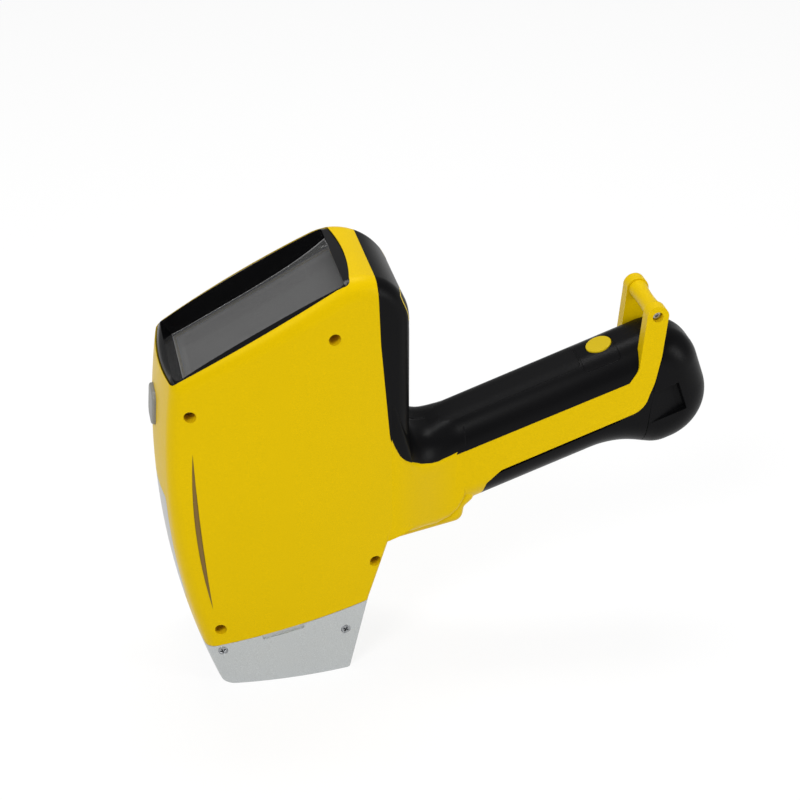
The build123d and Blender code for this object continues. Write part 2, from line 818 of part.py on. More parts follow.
with BuildPart() as screen_bezel:
    extrude(well_sketch(screen_plane, reveal), amount=-well_depth - glass_thick)
    add(head_form(bezel_top), mode=Mode.INTERSECT)
    with BuildSketch(screen_plane.offset(2)):
        RectangleRounded(well_length - 2.6, well_width + 1.0, 4)
    with BuildSketch(screen_plane.offset(glass_level + 0.01)):
        RectangleRounded(well_length - 2 * end_ledge, well_width - 2 * side_ledge, 2)
    loft(mode=Mode.SUBTRACT)
    with BuildSketch(screen_plane.offset(glass_level + 0.5)):
        RectangleRounded(well_length - 2 * end_ledge, well_width - 2 * side_ledge, 2)
    extrude(amount=-20, mode=Mode.SUBTRACT)
    with BuildSketch(screen_plane.offset(glass_level - 1.2)):
        RectangleRounded(well_length - 2 * end_ledge + 5, well_width - 2 * side_ledge + 3, 2)
    extrude(amount=-20, mode=Mode.SUBTRACT)
save(screen_bezel.part, "screen_bezel")

with BuildPart() as display_glass:
    with BuildSketch(screen_plane.offset(glass_level - 1.2 - 0.02)):
        RectangleRounded(well_length - 2 * end_ledge + 4.8, well_width - 2 * side_ledge + 2.8, 2)
    extrude(amount=-glass_thick)
save(display_glass.part, "display_glass")

panel_level = glass_level - 1.2 - glass_thick - 0.07
with BuildPart() as lcd_panel:
    with BuildSketch(screen_plane.offset(panel_level)):
        Rectangle(well_length - 2 * end_ledge - 3, well_width - 2 * side_ledge - 3)
    extrude(amount=-3.2)
save(lcd_panel.part, "lcd_panel")

with BuildPart() as screen_film:
    with BuildSketch(screen_plane.offset(glass_level - 1.2 + 0.02)):
        RectangleRounded(well_length - 2 * end_ledge - 0.6, well_width - 2 * side_ledge - 0.6, 2)
    extrude(amount=0.2)
save(screen_film.part, "screen_film")

# ---------------------------------------------------------------- small outer pieces
for side, name in ((-1, "status_light_left"), (1, "status_light_right")):
    with BuildPart() as light:
        add(head_form(0.05))
        add(skin, mode=Mode.SUBTRACT)
        add(light_prism(*sorted((side * 30, side * 45)), grow=-0.06), mode=Mode.INTERSECT)
    save(light.part, name)

with BuildPart() as top_plate:
    add(head_form(0))
    add(plate_skin, mode=Mode.SUBTRACT)
    with BuildSketch(Plane.YZ.offset(-75)):
        with Locations((0, (plate_low + plate_high) / 2)):
            RectangleRounded(plate_width - 2 * reveal, plate_high - plate_low - 2 * reveal, 3)
    extrude(amount=40, mode=Mode.INTERSECT)
save(top_plate.part, "top_plate")

button_proud = 1.8
button_flange = wall + 0.45
flange_thick = 1.2
with BuildPart() as power_button:
    with BuildSketch(button_plane.offset(button_proud)):
        RectangleRounded(button_width, button_height, 5)
    extrude(amount=-button_proud - button_flange)
    fillet(power_button.faces().sort_by(Axis(button_spot, button_out))[-1].edges(), 1.2)
    with BuildSketch(button_plane.offset(-button_flange)):
        RectangleRounded(button_width + 3, button_height + 3, 5)
    extrude(amount=-flange_thick)
save(power_button.part, "power_button")

board_level = -button_flange - flange_thick - button_travel - 0.25
with BuildPart() as button_board:
    # small board behind the button, leaning on the upper screw boss
    with BuildSketch(button_plane.offset(board_level)):
        Rectangle(46, 22)
    extrude(amount=-1.15)
save(button_board.part, "button_board")

# ---------------------------------------------------------------- trigger
with BuildPart() as trigger:
    with BuildSketch(grip_plane):
        with BuildLine():
            FilletPolyline(
                (hinge_s - 3.4, hinge_t + 1),
                (hinge_s - 1.0, hinge_t + 3.4),
                (-60, -22),
                (-56.2, -26),
                (-55.2, -37.6),
                (-70, -34.9),
                (-74.6, -32.6),
                (-75.0, -26.8),
                (hinge_s - 3.4, hinge_t - 2.4),
                radius=[2, 2, 3, 4, 2.2, 6, 1, 0.5, 2],
                close=True,
            )
        make_face()
        with Locations((hinge_s, hinge_t)):
            Circle(hinge_radius + 0.06, mode=Mode.SUBTRACT)
    extrude(amount=trigger_half, both=True)
    rim = trigger.edges().filter_by(lambda e: (e.center() - Vector(grip_x, 0, grip_z)).dot(grip_v) < -31)
    rim = rim.filter_by(lambda e: abs(abs(e.center().Y) - trigger_half) < 0.1)
    fillet(rim, 1.2)
save(trigger.part, "trigger")

with BuildPart() as trigger_pin:
    with BuildSketch(grip_plane):
        with Locations((hinge_s, hinge_t)):
            Circle(hinge_radius)
    extrude(amount=18, both=True)
save(trigger_pin.part, "trigger_pin")

# ---------------------------------------------------------------- release button
release_flange = 23.3
with BuildPart() as release_button:
    with BuildSketch(plan_plane.offset(release_flange - 1.5)):
        with Locations((release_s, 0)):
            Circle(release_radius + 1.6)
    extrude(amount=1.5)
    with BuildSketch(plan_plane.offset(release_flange)):
        with Locations((release_s, 0)):
            Circle(release_radius)
    extrude(amount=grip_half_depth + 0.9 - release_flange)
    fillet(release_button.faces().sort_by(Axis(grip_plane.origin, grip_v))[-1].edges(), 0.6)
save(release_button.part, "release_button")

# ---------------------------------------------------------------- measuring engine in the nose
ray_spot = Vector(window_x, 0, 0)
tube_lean = 28.0
detector_lean = -30.0
tube_dir = Vector(sin(radians(tube_lean)), 0, cos(radians(tube_lean)))
detector_dir = Vector(sin(radians(detector_lean)), 0, cos(radians(detector_lean)))
tube_radius = 10.0
tube_start = 31.0
tube_length = 62.0
shield_wall = 3.0
wheel_radius = 15.0
wheel_thick = 2.0
wheel_offset = 10.0  # filter circle, the wheel's axis lies this far from the beam along Y
wheel_at = 22.5
pinion_radius = 5.0
detector_radius = 7.5
detector_start = 17.0
detector_length = 26.0
block_top = 27.0


def along(direction, distance, y=0.0):
    """Plane square to a beam at a distance from the measured spot."""
    p = ray_spot + direction * distance
    return Plane(origin=(p.X, y, p.Z), x_dir=(0, 1, 0), z_dir=direction)


with BuildPart() as engine_block:
    with BuildSketch(Plane.XZ):
        with BuildLine():
            Polyline((-29, wall + seat + 0.25), (29, wall + seat + 0.25), (37.5, 31.0), (-37.0, 22.2), close=True)
        make_face()
    extrude(amount=block_half, both=True)
    with BuildSketch(along(tube_dir, 0)):
        Circle(3.0)
    extrude(amount=60, mode=Mode.SUBTRACT)
    with BuildSketch(along(tube_dir, tube_start - 0.4)):
        Circle(tube_radius + shield_wall + 0.15)
    extrude(amount=60, mode=Mode.SUBTRACT)
    with BuildSketch(along(tube_dir, wheel_at - wheel_thick / 2 - 0.5)):
        with Locations((wheel_offset, 0)):
            Circle(wheel_radius + 0.6)
        with Locations((wheel_offset + wheel_radius + pinion_radius - 0.2, 0)):
            Circle(pinion_radius + 0.6)
    extrude(amount=60, mode=Mode.SUBTRACT)
    with BuildSketch(along(detector_dir, 0)):
        Circle(3.5)
    extrude(amount=60, mode=Mode.SUBTRACT)
    with BuildSketch(along(detector_dir, detector_start - 0.1)):
        Circle(detector_radius + 0.1)
    extrude(amount=60, mode=Mode.SUBTRACT)
    for side in (-1, 1):
        with BuildSketch(Plane.XZ.offset(-side * block_half)):
            with Locations(*nose_screws):
                Circle(1.55)
        extrude(amount=side * 9, mode=Mode.SUBTRACT)
    with BuildSketch(Plane.XY.offset(wall + 6)):
        with GridLocations(nose_plate_length - 8, nose_plate_width - 8, 2, 2):
            Circle(1.05)
    extrude(amount=-8, mode=Mode.SUBTRACT)
    with BuildSketch(along(tube_dir, wheel_at - wheel_thick / 2 - 0.5)):
        with Locations((wheel_offset, 0)):
            Circle(1.5)
    extrude(amount=-3, mode=Mode.SUBTRACT)
print("block", [round(x.volume) for x in engine_block.part.solids()])
save(engine_block.part, "engine_block")

with BuildPart() as xray_tube:
    with BuildSketch(along(tube_dir, tube_start)):
        Circle(tube_radius)
    extrude(amount=tube_length)
    with BuildSketch(along(tube_dir, tube_start + tube_length)):
        Circle(tube_radius - 3)
    extrude(amount=6)
save(xray_tube.part, "xray_tube")

with BuildPart() as tube_shield:
    with BuildSketch(along(tube_dir, tube_start)):
        Circle(tube_radius + shield_wall)
        Circle(tube_radius + 0.05, mode=Mode.SUBTRACT)
    extrude(amount=tube_length - 8)
save(tube_shield.part, "tube_shield")

with BuildPart() as filter_wheel:
    with BuildSketch(along(tube_dir, wheel_at - wheel_thick / 2)):
        with Locations((wheel_offset, 0)):
            Circle(wheel_radius - 0.8)
            with PolarLocations(wheel_radius - 0.5, 36):
                Rectangle(1.4, 1.1)
        with Locations((wheel_offset, 0)):
            with PolarLocations(wheel_offset, 6):
                Circle(3.2, mode=Mode.SUBTRACT)
            Circle(1.55, mode=Mode.SUBTRACT)
    extrude(amount=wheel_thick)
save(filter_wheel.part, "filter_wheel")

with BuildPart() as wheel_shaft:
    with BuildSketch(along(tube_dir, wheel_at - wheel_thick / 2 - 3.4)):
        with Locations((wheel_offset, 0)):
            Circle(1.5)
    extrude(amount=3.4 + wheel_thick + 1)
save(wheel_shaft.part, "wheel_shaft")

pinion_y = wheel_offset + wheel_radius + pinion_radius - 0.2
pinion_tip = pinion_radius - 0.6
with BuildPart() as filter_pinion:
    with BuildSketch(along(tube_dir, wheel_at - wheel_thick / 2)):
        with Locations((pinion_y, 0)):
            Circle(pinion_tip - 0.9)
            with PolarLocations(pinion_tip - 0.65, 12):
                Rectangle(1.3, 0.9)
    extrude(amount=wheel_thick)
    with BuildSketch(along(tube_dir, wheel_at + wheel_thick / 2)):
        with Locations((pinion_y, 0)):
            Circle(0.9)
    extrude(amount=4)
save(filter_pinion.part, "filter_pinion")

with BuildPart() as filter_motor:
    with BuildSketch(along(tube_dir, wheel_at + wheel_thick / 2 + 0.4)):
        with Locations((pinion_y, 0)):
            Circle(pinion_radius + 0.4)
            Circle(0.95, mode=Mode.SUBTRACT)
    extrude(amount=17)
save(filter_motor.part, "filter_motor")

with BuildPart() as detector:
    with BuildSketch(along(detector_dir, detector_start)):
        Circle(detector_radius)
    extrude(amount=17)
save(detector.part, "detector")

# ---------------------------------------------------------------- chassis and boards
chassis_y = 16.0
chassis_thick = 2.0
supply_low = 100.0
supply_high = 158.0
board_y = 25.0
standoff_spots = [(-30, 66), (32, 86), (-30, 154), (32, 154)]

with BuildPart() as chassis:
    with BuildSketch(Plane.XZ.offset(-chassis_y - chassis_thick)):
        with BuildLine():
            Polyline((-36.5, 22.5), (-21, 24.3), (-16, 33), (18, 36), (22, 29.4), (36.5, 31.1), (43, 58), (43, 80), (40, 165), (-36, 165), close=True)
        make_face()
        with Locations(*screw_spots):
            Circle(boss_radius + 0.3, mode=Mode.SUBTRACT)
    extrude(amount=chassis_thick)
save(chassis.part, "chassis")

with BuildPart() as high_voltage_supply:
    with BuildSketch(Plane.XZ.offset(-chassis_y + seat)):
        with Locations((0, (supply_low + supply_high) / 2)):
            RectangleRounded(66, supply_high - supply_low, 3)
    extrude(amount=36)
save(high_voltage_supply.part, "high_voltage_supply")

with BuildPart() as board_standoffs:
    with BuildSketch(Plane.XZ.offset(-board_y + seat / 2)):
        with Locations(*standoff_spots):
            Circle(2.4)
    extrude(amount=board_y - seat - chassis_y - chassis_thick)
save(board_standoffs.part, "board_standoffs")

with BuildPart() as main_board:
    with BuildSketch(Plane.XZ.offset(-board_y - 1.6)):
        with Locations((1, 110)):
            RectangleRounded(72, 100, 2)
    extrude(amount=1.6)
save(main_board.part, "main_board")

with BuildPart() as heat_sink:
    with BuildSketch(Plane.XZ.offset(-board_y - 1.6 - seat - 2)):
        with Locations((2, 120)):
            Rectangle(34, 34)
    extrude(amount=2)
    with BuildSketch(Plane.XZ.offset(-board_y - 1.6 - seat - 7)):
        with Locations((2, 120)):
            with GridLocations(4, 1, 9, 1):
                Rectangle(1.2, 34)
    extrude(amount=5)
save(heat_sink.part, "heat_sink")

# ---------------------------------------------------------------- inside the grip
with BuildPart() as battery_contacts:
    with BuildSketch(Plane(origin=(grip_x + grip_u.X * (pack_start - 6), 0, grip_z + grip_u.Z * (pack_start - 6)), x_dir=(0, 1, 0), z_dir=grip_u)):
        Rectangle(2 * (grip_half_width - wall - seat), 14)
    extrude(amount=5.7)
save(battery_contacts.part, "battery_contacts")

with BuildPart() as trigger_switch:
    with BuildSketch(grip_plane):
        with Locations((-64, -15.9)):
            Rectangle(12, 6)
    extrude(amount=3, both=True)
    with BuildSketch(grip_plane):
        with Locations((-64, -12.2)):
            Rectangle(12, 1.4)
    extrude(amount=17.5, both=True)
save(trigger_switch.part, "trigger_switch")
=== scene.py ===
import math

import bmesh
import bpy
import numpy as np
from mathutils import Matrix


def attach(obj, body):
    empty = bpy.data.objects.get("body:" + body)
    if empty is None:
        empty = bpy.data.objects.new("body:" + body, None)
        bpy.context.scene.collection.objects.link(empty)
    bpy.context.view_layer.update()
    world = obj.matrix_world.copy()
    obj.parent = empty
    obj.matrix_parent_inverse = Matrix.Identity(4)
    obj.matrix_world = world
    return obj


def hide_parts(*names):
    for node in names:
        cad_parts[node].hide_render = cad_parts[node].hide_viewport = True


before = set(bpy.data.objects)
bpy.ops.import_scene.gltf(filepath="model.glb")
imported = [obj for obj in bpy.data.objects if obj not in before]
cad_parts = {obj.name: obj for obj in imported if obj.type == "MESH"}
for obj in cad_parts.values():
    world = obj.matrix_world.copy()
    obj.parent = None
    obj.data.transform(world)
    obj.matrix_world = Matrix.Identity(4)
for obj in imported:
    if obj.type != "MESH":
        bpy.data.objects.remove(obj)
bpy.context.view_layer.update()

print("frame loaded with", len(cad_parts), "nodes")

# shader nodes


# Sets a node's inputs from pairs of input and source, which is a socket or a plain value.
def wire(tree, node, links):
    for slot, source in links:
        if isinstance(source, bpy.types.NodeSocket):
            tree.links.new(source, node.inputs[slot])
        else:
            node.inputs[slot].default_value = source


def place(tree, kind, links=(), **values):
    node = tree.nodes.new(kind)
    for key, value in values.items():
        setattr(node, key, value)
    wire(tree, node, links)
    return node


def maths(tree, operation, *sources, clamp=False):
    node = place(tree, "ShaderNodeMath", enumerate(sources), operation=operation, use_clamp=clamp)
    return node.outputs[0]


def noise(tree, where, scale, detail=2.0):
    node = place(tree, "ShaderNodeTexNoise", [("Vector", where), ("Scale", scale), ("Detail", detail)])
    return node.outputs["Fac"]


# Maps one span of values onto another, clamped.
def ramp(tree, source, span=(0.0, 1.0), onto=(0.0, 1.0)):
    return place(tree, "ShaderNodeMapRange", enumerate((source, *span, *onto))).outputs[0]


def freshMaterial(name):
    mat = bpy.data.materials.new(name)
    mat.use_nodes = True
    return mat, mat.node_tree, mat.node_tree.nodes["Principled BSDF"]


def opaque(tone):
    return (*tone, 1.0)


# camera, lamps and floor

camera = {
    "place": (-0.113838, -0.855380, 0.665881), "turn": (59.236, 0.0, -12.2726),
    "lens": 85.5, "sensor": 36.0, "clip": (0.05, 40.0),
}
# whiteShare is how much of the floor's look is plain white to the eye
studio = {
    "world": 0.30, "worldTone": (1.0, 1.0, 1.0), "floorReach": 6.0, "floorTone": (0.86, 0.86, 0.86),
    "floorRough": 0.9, "floorSpecular": 0.1, "whiteShare": 0.82, "glow": 1.05,
}
lamps = {
    "keyLamp": {"at": (-0.75, -0.95, 1.35), "aim": (0.03, 0.0, 0.14), "size": (0.55, 0.55), "power": 14.5},
    "topLamp": {"at": (0.15, 0.45, 1.30), "aim": (0.08, 0.0, 0.14), "size": (0.9, 0.35), "power": 8.0},
    "sideLamp": {"at": (1.10, -0.75, 0.55), "aim": (0.08, 0.0, 0.14), "size": (0.35, 0.7), "power": 5.0},
}


def makeCamera(s):
    data = bpy.data.cameras.new("viewCamera")
    data.sensor_width = s["sensor"]
    data.lens = s["lens"]
    data.clip_start, data.clip_end = s["clip"]
    eye = bpy.data.objects.new("viewCamera", data)
    bpy.context.collection.objects.link(eye)
    eye.location = s["place"]
    eye.rotation_euler = [math.radians(a) for a in s["turn"]]
    bpy.context.scene.camera = eye


# Euler angles that turn a lamp's -Z from its place towards its aim.
def aimedTurn(spot, aim):
    dx, dy, dz = (a - p for a, p in zip(aim, spot))
    return (math.atan2(math.hypot(dx, dy), -dz), 0.0, math.atan2(dy, dx) - math.pi / 2)


def makeLamp(name, s):
    data = bpy.data.lights.new(name, "AREA")
    data.shape = "RECTANGLE"
    data.size, data.size_y = s["size"]
    data.energy = s["power"]
    lamp = bpy.data.objects.new(name, data)
    bpy.context.collection.objects.link(lamp)
    lamp.location = s["at"]
    lamp.rotation_euler = aimedTurn(s["at"], s["aim"])


def makeWorld(s):
    world = bpy.data.worlds.new("studioAir")
    bpy.context.scene.world = world
    world.use_nodes = True
    air = world.node_tree.nodes["Background"]
    wire(world.node_tree, air, [("Color", opaque(s["worldTone"])), ("Strength", s["world"])])


# A level square; to the eye and to gloss it is mostly plain white, so only its shadow shows.
def makeFloor(s):
    mesh = bpy.data.meshes.new("studioFloor")
    r = s["floorReach"]
    mesh.from_pydata([(-r, -r, 0), (r, -r, 0), (r, r, 0), (-r, r, 0)], [], [(0, 1, 2, 3)])
    floor = bpy.data.objects.new("studioFloor", mesh)
    bpy.context.collection.objects.link(floor)
    mat, tree, surface = freshMaterial("floorPaper")
    wire(tree, surface, [
        ("Base Color", opaque(s["floorTone"])), ("Roughness", s["floorRough"]),
        ("Specular IOR Level", s["floorSpecular"]),
    ])
    path = place(tree, "ShaderNodeLightPath").outputs
    seen = maths(tree, "MAXIMUM", path["Is Camera Ray"], path["Is Glossy Ray"])
    through = maths(tree, "MAXIMUM", seen, path["Is Transmission Ray"])
    share = maths(tree, "MULTIPLY", through, s["whiteShare"])
    glow = place(tree, "ShaderNodeEmission", [("Strength", s["glow"])])
    mix = place(tree, "ShaderNodeMixShader", enumerate((share, surface.outputs[0], glow.outputs[0])))
    wire(tree, tree.nodes["Material Output"], [("Surface", mix.outputs[0])])
    mesh.materials.append(mat)


bpy.context.scene.view_settings.view_transform = "Standard"
makeCamera(camera)
for lampName, lampLook in lamps.items():
    makeLamp(lampName, lampLook)
makeWorld(studio)
makeFloor(studio)
print("camera, lamps and floor stand")

# shared effects

vectorKind, numberKind, colourKind = "NodeSocketVector", "NodeSocketFloat", "NodeSocketColor"


# A node group with its input and output nodes, from (label, kind, default) and (label, kind) rows.
def freshGroup(name, inputs, outputs):
    group = bpy.data.node_groups.new(name, "ShaderNodeTree")
    for label, kind, value in inputs:
        socket = group.interface.new_socket(label, in_out="INPUT", socket_type=kind)
        if value is not None:
            socket.default_value = value
    for label, kind in outputs:
        group.interface.new_socket(label, in_out="OUTPUT", socket_type=kind)
    return group, group.nodes.new("NodeGroupInput"), group.nodes.new("NodeGroupOutput")


grainLook = {
    "cells": 2500.0, "peel": 260.0, "peelDetail": 1.0, "peelShare": 0.45, "cellShare": 0.55,
    "pits": (0.42, 0.62),
}


# Spark-eroded texture of a mould: fine cells over a soft orange peel, as a height from 0 to 1, and
# the cells alone, sharpened.
def makeMouldGrain(s):
    group, start, end = freshGroup(
        "mouldGrain",
        [("Vector", vectorKind, None), ("Cells", numberKind, s["cells"]), ("Peel", numberKind, s["peel"])],
        [("Height", numberKind), ("Pits", numberKind)],
    )
    where = start.outputs["Vector"]
    cells = noise(group, where, start.outputs["Cells"])
    peel = noise(group, where, start.outputs["Peel"], s["peelDetail"])
    soft = maths(group, "MULTIPLY", peel, s["peelShare"])
    height = maths(group, "MULTIPLY_ADD", cells, s["cellShare"], soft)
    wire(group, end, [("Height", height), ("Pits", ramp(group, cells, s["pits"]))])
    return group


driftLook = {"scale": 14.0, "swing": 0.06, "detail": 3.0, "centre": 0.5}


# A colour that drifts a little in brightness over centimetres, as moulded and blasted skins do.
def makeToneDrift(s):
    group, start, end = freshGroup(
        "toneDrift",
        [
            ("Vector", vectorKind, None), ("Color", colourKind, None), ("Scale", numberKind, s["scale"]),
            ("Swing", numberKind, s["swing"]),
        ],
        [("Color", colourKind), ("Mask", numberKind)],
    )
    cloud = noise(group, start.outputs["Vector"], start.outputs["Scale"], s["detail"])
    centred = maths(group, "SUBTRACT", cloud, s["centre"])
    swung = maths(group, "MULTIPLY", centred, start.outputs["Swing"])
    value = maths(group, "ADD", swung, 1.0)
    tone = place(group, "ShaderNodeHueSaturation", [("Value", value), ("Color", start.outputs["Color"])])
    wire(group, end, [("Color", tone.outputs["Color"]), ("Mask", cloud)])
    return group


rubLook = {
    "radius": 0.0006, "amount": 0.5, "samples": 4, "turned": (0.995, 0.80), "breakScale": 420.0,
    "torn": (0.38, 0.62),
}


# Mask of worn edges: where the rounded-off normal leaves the true one, broken up by noise.
def makeEdgeRub(s):
    group, start, end = freshGroup(
        "edgeRub",
        [
            ("Vector", vectorKind, None), ("Radius", numberKind, s["radius"]),
            ("Amount", numberKind, s["amount"]),
        ],
        [("Mask", numberKind), ("Normal", vectorKind)],
    )
    bevel = place(group, "ShaderNodeBevel", [("Radius", start.outputs["Radius"])], samples=s["samples"])
    rounded = bevel.outputs["Normal"]
    true = place(group, "ShaderNodeNewGeometry").outputs["Normal"]
    dot = place(group, "ShaderNodeVectorMath", [(0, rounded), (1, true)], operation="DOT_PRODUCT")
    edge = ramp(group, dot.outputs["Value"], s["turned"])
    torn = ramp(group, noise(group, start.outputs["Vector"], s["breakScale"]), s["torn"])
    worn = maths(group, "MULTIPLY", edge, torn)
    mask = maths(group, "MULTIPLY", worn, start.outputs["Amount"])
    wire(group, end, [("Mask", mask), ("Normal", rounded)])
    return group


scratchLook = {
    "amount": 0.3, "stretch": (60.0, 60.0, 2600.0), "lineScale": 1.0, "thin": (0.63, 0.72),
    "patchScale": 22.0, "patch": (0.45, 0.65),
}


# Hairline marks: noise stretched along one way, kept only where a slower noise is high.
def makeFineScratches(s):
    group, start, end = freshGroup(
        "fineScratches",
        [("Vector", vectorKind, None), ("Amount", numberKind, s["amount"])],
        [("Mask", numberKind)],
    )
    where = start.outputs["Vector"]
    stretch = place(group, "ShaderNodeVectorMath", [(0, where), (1, s["stretch"])], operation="MULTIPLY")
    thin = ramp(group, noise(group, stretch.outputs[0], s["lineScale"]), s["thin"])
    patch = ramp(group, noise(group, where, s["patchScale"]), s["patch"])
    both = maths(group, "MULTIPLY", thin, patch)
    wire(group, end, [("Mask", maths(group, "MULTIPLY", both, start.outputs["Amount"]))])
    return group


mouldGrain = makeMouldGrain(grainLook)
toneDrift = makeToneDrift(driftLook)
edgeRub = makeEdgeRub(rubLook)
fineScratches = makeFineScratches(scratchLook)
print("shared effects built")

# finishes

cloudSpan = (0.3, 0.7)
plainFinish = {
    "driftScale": 14.0, "swing": 0.06, "edge": 0.0005, "wear": 0.35, "marks": 0.15, "roughSwing": 0.04,
    "cells": 2500.0, "peel": 260.0, "grit": 0.0, "bump": 0.25, "depth": 0.0002, "metal": 0.0,
    "specular": 0.5, "glossTone": (1.0, 1.0, 1.0), "coat": 0.0, "coatRough": 0.2,
}


# The outputs of a shared effect, placed in a material with its own values.
def effect(tree, group, where, **values):
    return place(tree, "ShaderNodeGroup", [("Vector", where), *values.items()], node_tree=group).outputs


# A material from a finish dictionary: drifting tone, worn edges, grain bump, hairline gloss marks.
def moulded(name, finish):
    s = {**plainFinish, "wornTone": finish["tone"], **finish}
    mat, tree, surface = freshMaterial(name)
    where = place(tree, "ShaderNodeTexCoord").outputs["Object"]
    drift = effect(tree, toneDrift, where, Color=opaque(s["tone"]), Scale=s["driftScale"], Swing=s["swing"])
    rub = effect(tree, edgeRub, where, Radius=s["edge"], Amount=s["wear"])
    marks = effect(tree, fineScratches, where, Amount=s["marks"])
    grain = effect(tree, mouldGrain, where, Cells=s["cells"], Peel=s["peel"])
    tones = [("Factor", rub["Mask"]), ("A", drift["Color"]), ("B", opaque(s["wornTone"]))]
    worn = place(tree, "ShaderNodeMix", tones, data_type="RGBA").outputs["Result"]
    speckle = ramp(tree, grain["Pits"], onto=(1.0 - s["grit"], 1.0 + s["grit"]))
    gritty = place(tree, "ShaderNodeHueSaturation", [("Value", speckle), ("Color", worn)])
    roughSpan = (s["rough"] - s["roughSwing"], s["rough"] + s["roughSwing"])
    rough = ramp(tree, drift["Mask"], cloudSpan, roughSpan)
    bump = place(tree, "ShaderNodeBump", [
        ("Height", grain["Height"]), ("Normal", rub["Normal"]), ("Strength", s["bump"]),
        ("Distance", s["depth"]),
    ])
    wire(tree, surface, [
        ("Base Color", gritty.outputs["Color"]),
        ("Roughness", maths(tree, "SUBTRACT", rough, marks["Mask"], clamp=True)),
        ("Normal", bump.outputs["Normal"]),
        ("Metallic", s["metal"]),
        ("Specular IOR Level", s["specular"]),
        ("Specular Tint", opaque(s["glossTone"])),
        ("Coat Weight", s["coat"]),
        ("Coat Roughness", s["coatRough"]),
    ])
    return mat


def dress(mat, *names):
    for name in names:
        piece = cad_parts[name]
        piece.data.materials.clear()
        piece.data.materials.append(mat)


yellowShell = {
    "tone": (0.76, 0.515, 0.0012), "wornTone": (0.84, 0.61, 0.02), "rough": 0.38, "roughSwing": 0.05,
    "swing": 0.05, "cells": 3200.0, "peel": 420.0, "bump": 0.22, "depth": 0.00016, "edge": 0.0004,
    "wear": 0.35, "marks": 0.12, "specular": 0.14, "glossTone": (1.0, 0.84, 0.12), "grit": 0.07,
}
yellowSkin = moulded("yellowShellSkin", yellowShell)
dress(yellowSkin, "left_housing", "right_housing", "loop_bar")

yellowButton = {
    "tone": (0.62, 0.45, 0.008), "wornTone": (0.72, 0.55, 0.03), "rough": 0.38, "swing": 0.04,
    "cells": 3600.0, "bump": 0.12, "depth": 0.0001, "edge": 0.0006, "wear": 0.3,
    "specular": 0.2, "glossTone": (1.0, 0.9, 0.4),
}
dress(moulded("yellowButtonSkin", yellowButton), "release_button")

yellowLine = {"tone": (0.80, 0.58, 0.02), "rough": 0.3, "bump": 0.05, "wear": 0.1}
linePaint = moulded("yellowLinePaint", yellowLine)

blackShell = {
    "tone": (0.0038, 0.0038, 0.0043), "wornTone": (0.02, 0.02, 0.022), "rough": 0.36, "roughSwing": 0.05,
    "swing": 0.2, "cells": 3000.0, "peel": 380.0, "bump": 0.30, "depth": 0.00016, "edge": 0.0004,
    "wear": 0.35, "marks": 0.10, "specular": 0.075,
}
blackSkin = moulded("blackShellSkin", blackShell)
dress(blackSkin, "rear_cover", "grip_back", "grip_front", "battery_cap", "button_panel", "trigger")

gripStrap = {
    "tone": (0.0050, 0.0050, 0.0055), "wornTone": (0.02, 0.02, 0.02), "rough": 0.5, "specular": 0.07,
    "roughSwing": 0.06, "swing": 0.2, "cells": 2200.0, "peel": 300.0, "bump": 0.4, "depth": 0.0002,
    "edge": 0.0004, "wear": 0.2,
}
dress(moulded("gripStrapRubber", gripStrap), "back_strap")

rearLabel = {
    "tone": (0.005, 0.005, 0.0055), "rough": 0.3, "specular": 0.2, "swing": 0.1, "bump": 0.08, "wear": 0.1,
}
dress(moulded("rearLabelFoil", rearLabel), "rear_overlay")

screenFrame = {
    "tone": (0.004, 0.004, 0.0045), "wornTone": (0.03, 0.03, 0.03), "rough": 0.24, "swing": 0.1,
    "bump": 0.06, "specular": 0.2, "edge": 0.0004, "wear": 0.3,
}
framePlastic = moulded("screenFramePlastic", screenFrame)

noseCasting = {
    "tone": (0.52, 0.54, 0.54), "wornTone": (0.72, 0.73, 0.73), "rough": 0.46, "roughSwing": 0.05,
    "swing": 0.05, "metal": 0.75, "grit": 0.10, "cells": 3000.0, "peel": 900.0, "bump": 0.32,
    "depth": 0.00012, "edge": 0.0005, "wear": 0.5, "marks": 0.05,
}
dress(moulded("noseCastingBlast", noseCasting), "nose_housing")

nosePlate = dict(noseCasting, tone=(0.45, 0.46, 0.46), rough=0.34, cells=5200.0, bump=0.15)
dress(moulded("nosePlateMachined", nosePlate), "nose_plate")

plateFoil = {
    "tone": (0.48, 0.48, 0.48), "wornTone": (0.6, 0.6, 0.6), "rough": 0.36, "metal": 0.85, "swing": 0.04,
    "cells": 5200.0, "bump": 0.1, "depth": 0.00008, "wear": 0.2, "marks": 0.2,
}
dress(moulded("plateFoilSatin", plateFoil), "top_plate")

powerCap = {
    "tone": (0.24, 0.24, 0.225), "wornTone": (0.34, 0.34, 0.33), "rough": 0.45, "bump": 0.25, "wear": 0.3,
}
dress(moulded("powerCapPlastic", powerCap), "power_button")

lightLens = {
    "tone": (0.20, 0.118, 0.022), "wornTone": (0.26, 0.16, 0.05), "rough": 0.24, "swing": 0.25,
    "driftScale": 60.0, "bump": 0.05, "coat": 0.08, "specular": 0.2, "wear": 0.2,
}
dress(moulded("lightLensSmoke", lightLens), "status_light_left", "status_light_right")

brightScrew = {
    "tone": (0.42, 0.43, 0.44), "wornTone": (0.7, 0.7, 0.7), "rough": 0.26, "metal": 1.0, "swing": 0.1,
    "cells": 6000.0, "bump": 0.05, "wear": 0.4, "marks": 0.2,
}
steelNodes = (
    "plate_screws", "housing_screws", "loop_screws", "wheel_shaft", "trigger_pin", "filter_motor",
    "detector",
)
dress(moulded("brightScrewSteel", brightScrew), *steelNodes)

